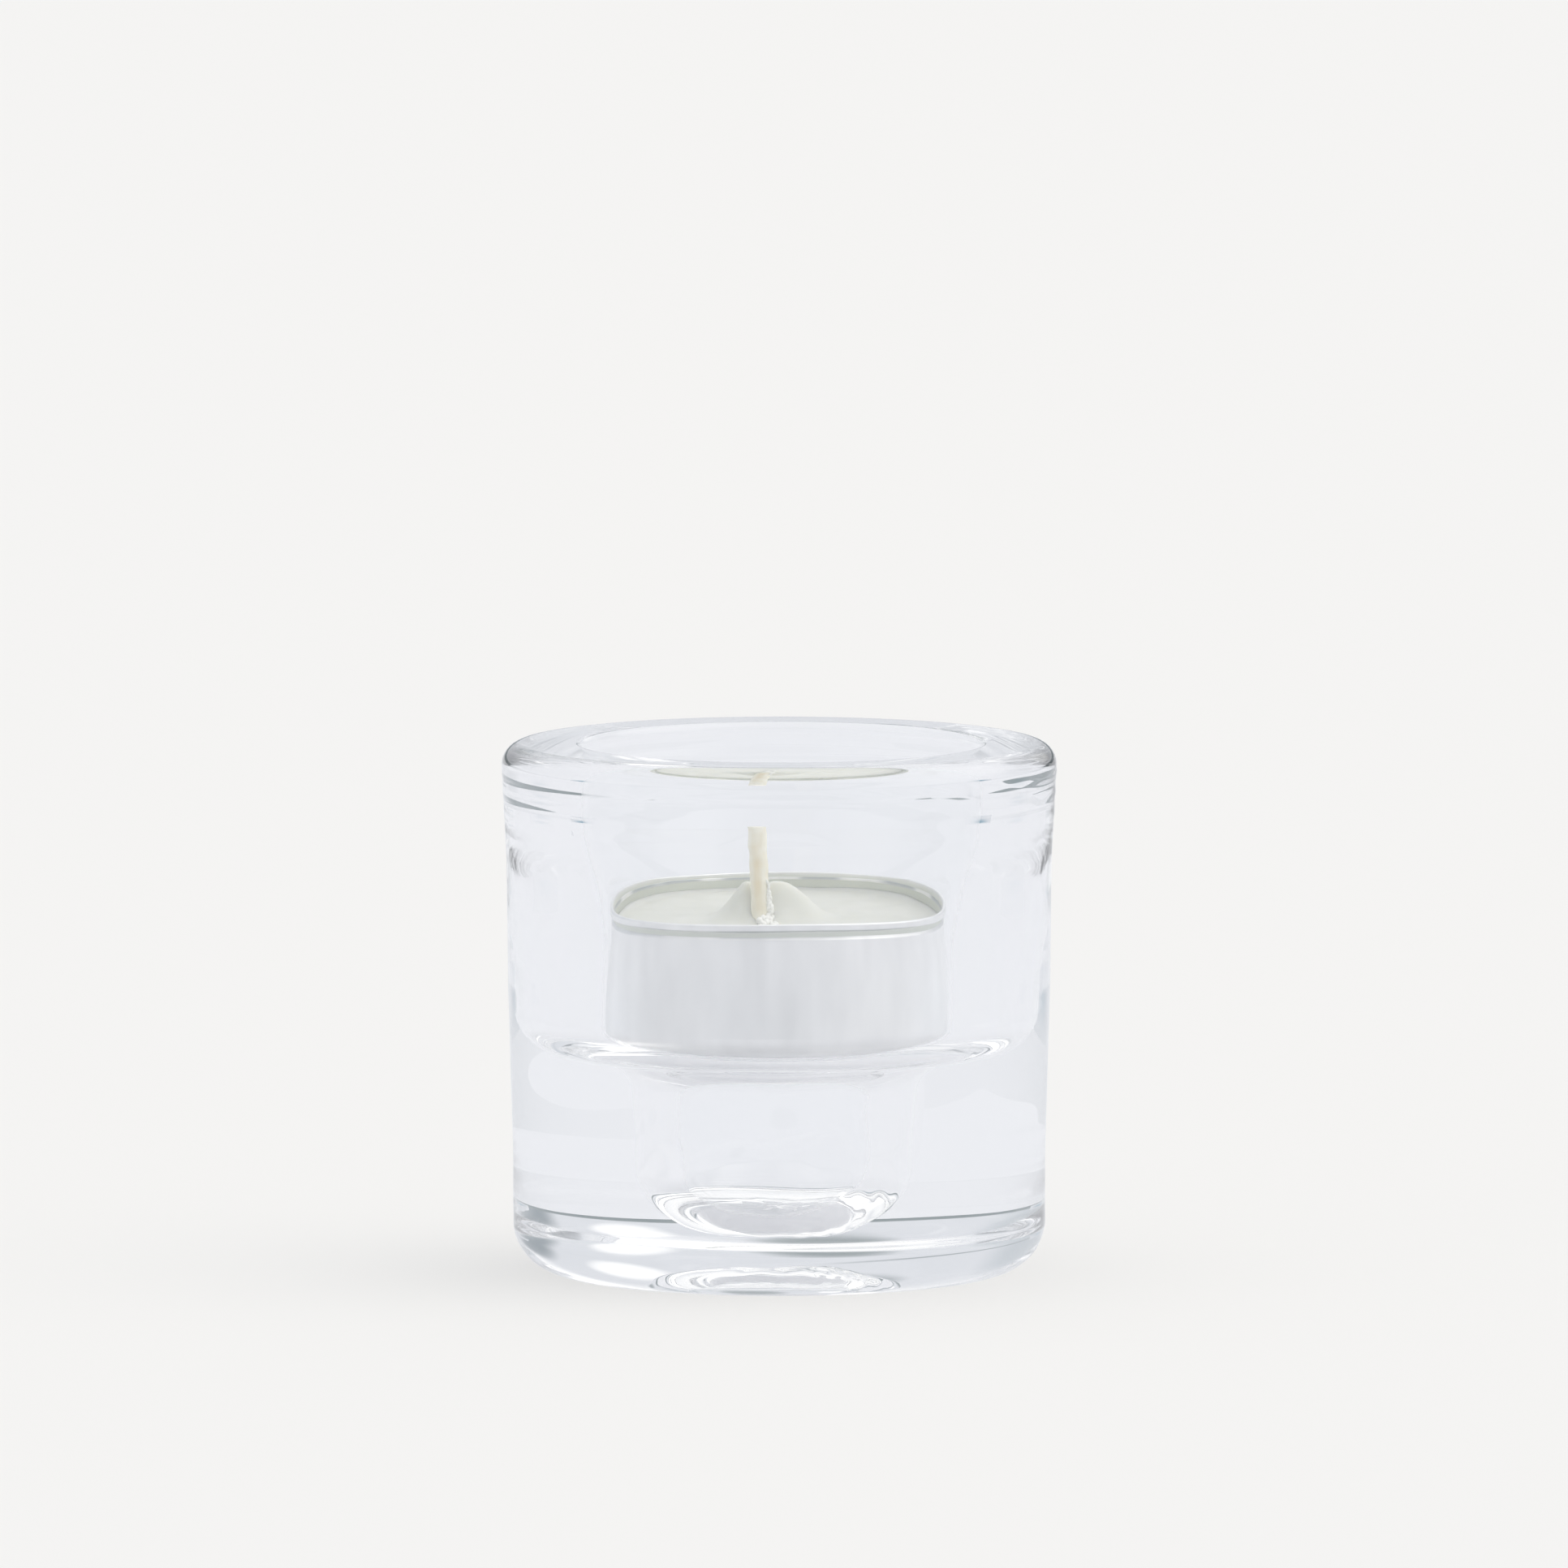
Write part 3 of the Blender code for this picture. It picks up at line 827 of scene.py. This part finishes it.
wick_grid = middle[:, None] + wick_radius[..., None] * circle[None]
wick_grid = np.concatenate([np.repeat(middle[:1, None], WICK_COLUMNS, 1), wick_grid,
                            np.repeat(middle[-1:, None], WICK_COLUMNS, 1)])
TAN_SIDE = -0.5 * math.pi - 0.25  # the angle round the cord that the core shows at
core = bell(np.angle(np.exp(1j * (a - TAN_SIDE))), 0.0, 0.5)[None]
core = core * (smooth(free, 0.05, 0.3) * (1.0 - smooth(free, 0.55, 0.95)))[:, None]
# The tan core on the front, plus painted shade in the plait's furrows (the 1 - plait part)
tan_core_and_furrow_shade = np.clip(0.55 * core + 0.10 * (1.0 - plait), 0.0, 1.0)
tan_core_and_furrow_shade = np.vstack([tan_core_and_furrow_shade[:1], tan_core_and_furrow_shade, tan_core_and_furrow_shade[-1:]])
wick = skin("wick_cord", wick_grid, marks={"tan_core_and_furrow_shade": tan_core_and_furrow_shade})

# %% [markdown]
# ## Waxed cotton
#
# Cotton soaked in wax is cream coloured, and its fine fibres run up the cord. Single
# threads could be modelled, but under the wax they hardly show, so the mottle and the
# grain are drawn out along Z instead, and the mark on the mesh places the tan core and
# the painted shade in the furrows.

# %% Waxed cotton finish
cotton, tree, shader = new_material("waxed_cotton_finish")
fibres = place(tree, mottle, Stretch=(1.0, 1.0, 0.25), Scale=1500.0,
               Light=(0.98, 0.965, 0.88, 1.0), Dark=(0.92, 0.88, 0.75, 1.0))
fuzz = place(tree, grain, Stretch=(1.0, 1.0, 0.4), Scale=2500.0, Depth=0.03 * MM)
# This tint gives the tan core and the painted shade in the furrows.
core_and_furrow_shaded = tinted(tree, fibres.outputs["Colour"], "tan_core_and_furrow_shade", (0.86, 0.74, 0.53))
tree.links.new(core_and_furrow_shaded, shader.inputs["Base Color"])
roughness = spread(tree, fibres.outputs["Value"], 0.0, 1.0, 0.62, 0.45)
tree.links.new(roughness, shader.inputs["Roughness"])
tree.links.new(fuzz.outputs["Normal"], shader.inputs["Normal"])
wick.data.materials.append(cotton)
print("cotton finish made")

# %% [markdown]
# ## Torn wax
#
# Where the wick was pulled up through the soft wax, a white sliver of wax still clings
# to its right side and crumbs lie at its foot. Both are made of lumps: a lump is a ball
# whose radius varies with direction. A row of lumps that overlap, large at the bottom
# and small at the top, makes the sliver. Broken wax scatters more light than poured wax,
# so its finish is paler and dull.

# %% Crumbs and sliver
def lump(middle, size, seed, rows=14, columns=20):
    """Points of a ball at middle: size (x, y, z) times (sin p cos a, sin p sin a, cos p)
    times a radius of 1 plus three soft waves of direction."""
    draw = np.random.default_rng(seed)
    p = np.linspace(0.0, math.pi, rows)[:, None]
    a = np.arange(columns)[None] * 2.0 * math.pi / columns
    ball = np.stack([np.sin(p) * np.cos(a), np.sin(p) * np.sin(a), np.cos(p) + 0.0 * a], 2)
    swell = 1.0 + sum(0.12 * np.cos(ball @ draw.normal(0.0, 2.6, 3) + draw.uniform(0, 6))
                      for _ in range(3))
    return np.array(middle) + ball * np.array(size) * swell[..., None]


def heap(name, grids):
    """One object from many closed skins: their points are stacked, and each skin's faces
    count on from the points before it."""
    skins = [closed(grid) for grid in grids]
    starts = np.cumsum([0] + [len(points) for points, *_ in skins])
    quads = np.vstack([quads + start for (_, quads, _, _), start in zip(skins, starts)])
    fans = np.vstack([fans + start for (_, _, fans, _), start in zip(skins, starts)])
    print(f"{name}: {2 * len(quads) + len(fans)} triangles in {len(skins)} lumps")
    return mesh_object(name, np.vstack([points for points, *_ in skins]), quads, fans)


WICK_X = CLIP_X - WICK_DRIFT
SLIVER_LUMPS, CRUMBS = 16, 34
SLIVER_LENGTH = 4.7            # in mm
CRUMB_TRAIL = 8.0              # in mm, from the wick towards the front
draw = np.random.default_rng(44)
lumps = []
for i, up in enumerate(np.linspace(0.0, 1.0, SLIVER_LUMPS)):
    wide = (0.62 - 0.48 * up) * MM
    lumps.append(lump((WICK_X + (1.05 - 0.32 * up + draw.uniform(-0.08, 0.10)) * MM,
                       (-0.42 - 0.25 * up) * MM, WAX_TOP + (0.15 + SLIVER_LENGTH * up) * MM),
                      (0.8 * wide, wide, 0.42 * MM), 60 + i))
for i in range(CRUMBS):
    wide = draw.uniform(0.22, 0.48)
    forward = draw.uniform(0.0, 1.0) ** 1.5
    across = -0.4 + 0.9 * forward + draw.uniform(0.0, 1.9)
    lumps.append(lump((WICK_X + across * MM, (-1.0 - CRUMB_TRAIL * forward) * MM,
                       WAX_TOP + (0.4 * wide + 0.5 * (1.0 - forward) * draw.uniform(0, 1)) * MM),
                      draw.uniform(0.7, 1.1, 3) * wide * MM, 90 + i, rows=10, columns=14))
torn_wax = heap("torn_wax", lumps)

# %% Torn wax finish
crumbly, tree, shader = new_material("torn_paraffin_finish")
flecks = place(tree, mottle, Scale=900.0, Light=(0.97, 0.968, 0.94, 1.0),
               Dark=(0.90, 0.90, 0.865, 1.0))
broken = place(tree, grain, Scale=2600.0, Depth=0.05 * MM)
tree.links.new(flecks.outputs["Colour"], shader.inputs["Base Color"])
roughness = spread(tree, flecks.outputs["Value"], 0.0, 1.0, 0.75, 0.6)
tree.links.new(roughness, shader.inputs["Roughness"])
tree.links.new(broken.outputs["Normal"], shader.inputs["Normal"])
torn_wax.data.materials.append(crumbly)
print("torn wax finish made")

# %% [markdown]
# ## The wick's clip
#
# A round clip of tin plate lies on the cup's floor under the wax. A short neck in its
# middle grips the wick. A disc and a tube would overlap, so it is one turned ring: its
# profile goes up the bore, down the neck and out over the plate.

# %% Clip
CLIP_CORNERS = [
    (CLIP_BORE, CLIP_FLOOR, 0.0),
    (CLIP_BORE, CLIP_TOP, 0.06 * MM),
    (CLIP_NECK, CLIP_TOP, 0.06 * MM),
    (CLIP_NECK, CLIP_FLOOR + CLIP_SHEET, 0.12 * MM),
    (CLIP_RADIUS, CLIP_FLOOR + CLIP_SHEET, 0.06 * MM),
    (CLIP_RADIUS, CLIP_FLOOR, 0.06 * MM),
]
CLIP_COLUMNS = 96
clip_line, clip_normals = outline(CLIP_CORNERS, 0.6 * MM, math.radians(25.0), ring=True)
clip_grid, _, _ = turn(clip_line, clip_normals, CLIP_COLUMNS)
clip_grid[..., 0] += CLIP_X
clip = skin("wick_clip_plate", clip_grid, ring=True)

# %% [markdown]
# ## Tin plate
#
# Tin on steel has a dull shine, with faint crystals and with rolling lines that run one
# way. The mottle gives the crystals. The grain, drawn out along X, gives the lines.

# %% Tin finish
tin, tree, shader = new_material("tin_plate_finish")
spangle = place(tree, mottle, Scale=700.0, Light=(0.66, 0.66, 0.67, 1.0),
                Dark=(0.50, 0.50, 0.52, 1.0))
rolled = place(tree, grain, Stretch=(0.2, 1.0, 1.0), Scale=1400.0, Depth=0.01 * MM)
tree.links.new(spangle.outputs["Colour"], shader.inputs["Base Color"])
roughness = spread(tree, spangle.outputs["Value"], 0.0, 1.0, 0.42, 0.26)
tree.links.new(roughness, shader.inputs["Roughness"])
tree.links.new(rolled.outputs["Normal"], shader.inputs["Normal"])
shader.inputs["Metallic"].default_value = 1.0
clip.data.materials.append(tin)
print("tin finish made")

# %% [markdown]
# ## Put the pieces on their bodies
#
# The glass block rides the holder, and everything else rides the tealight, which slides
# up out of the well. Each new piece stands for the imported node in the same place. The
# torn wax stands for no node of its own: it just goes with the tealight.

# %% Bodies, nodes and slots
PLACES = {
    "glass_block": ("holder", "glass_holder", "clear_glass"),
    "cup_shell": ("tealight", "tealight_cup", "cup_aluminium"),
    "wax_fill": ("tealight", "wax", "candle_wax"),
    "wick_cord": ("tealight", "wick", "wick_cotton"),
    "wick_clip_plate": ("tealight", "wick_clip", "clip_tin"),
    "torn_wax": ("tealight", None, "candle_wax"),
}
for name, (body, node, slot) in PLACES.items():
    piece = bpy.data.objects[name]
    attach(piece, body)
    if node:
        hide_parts(node)
print(len(PLACES), "pieces placed")
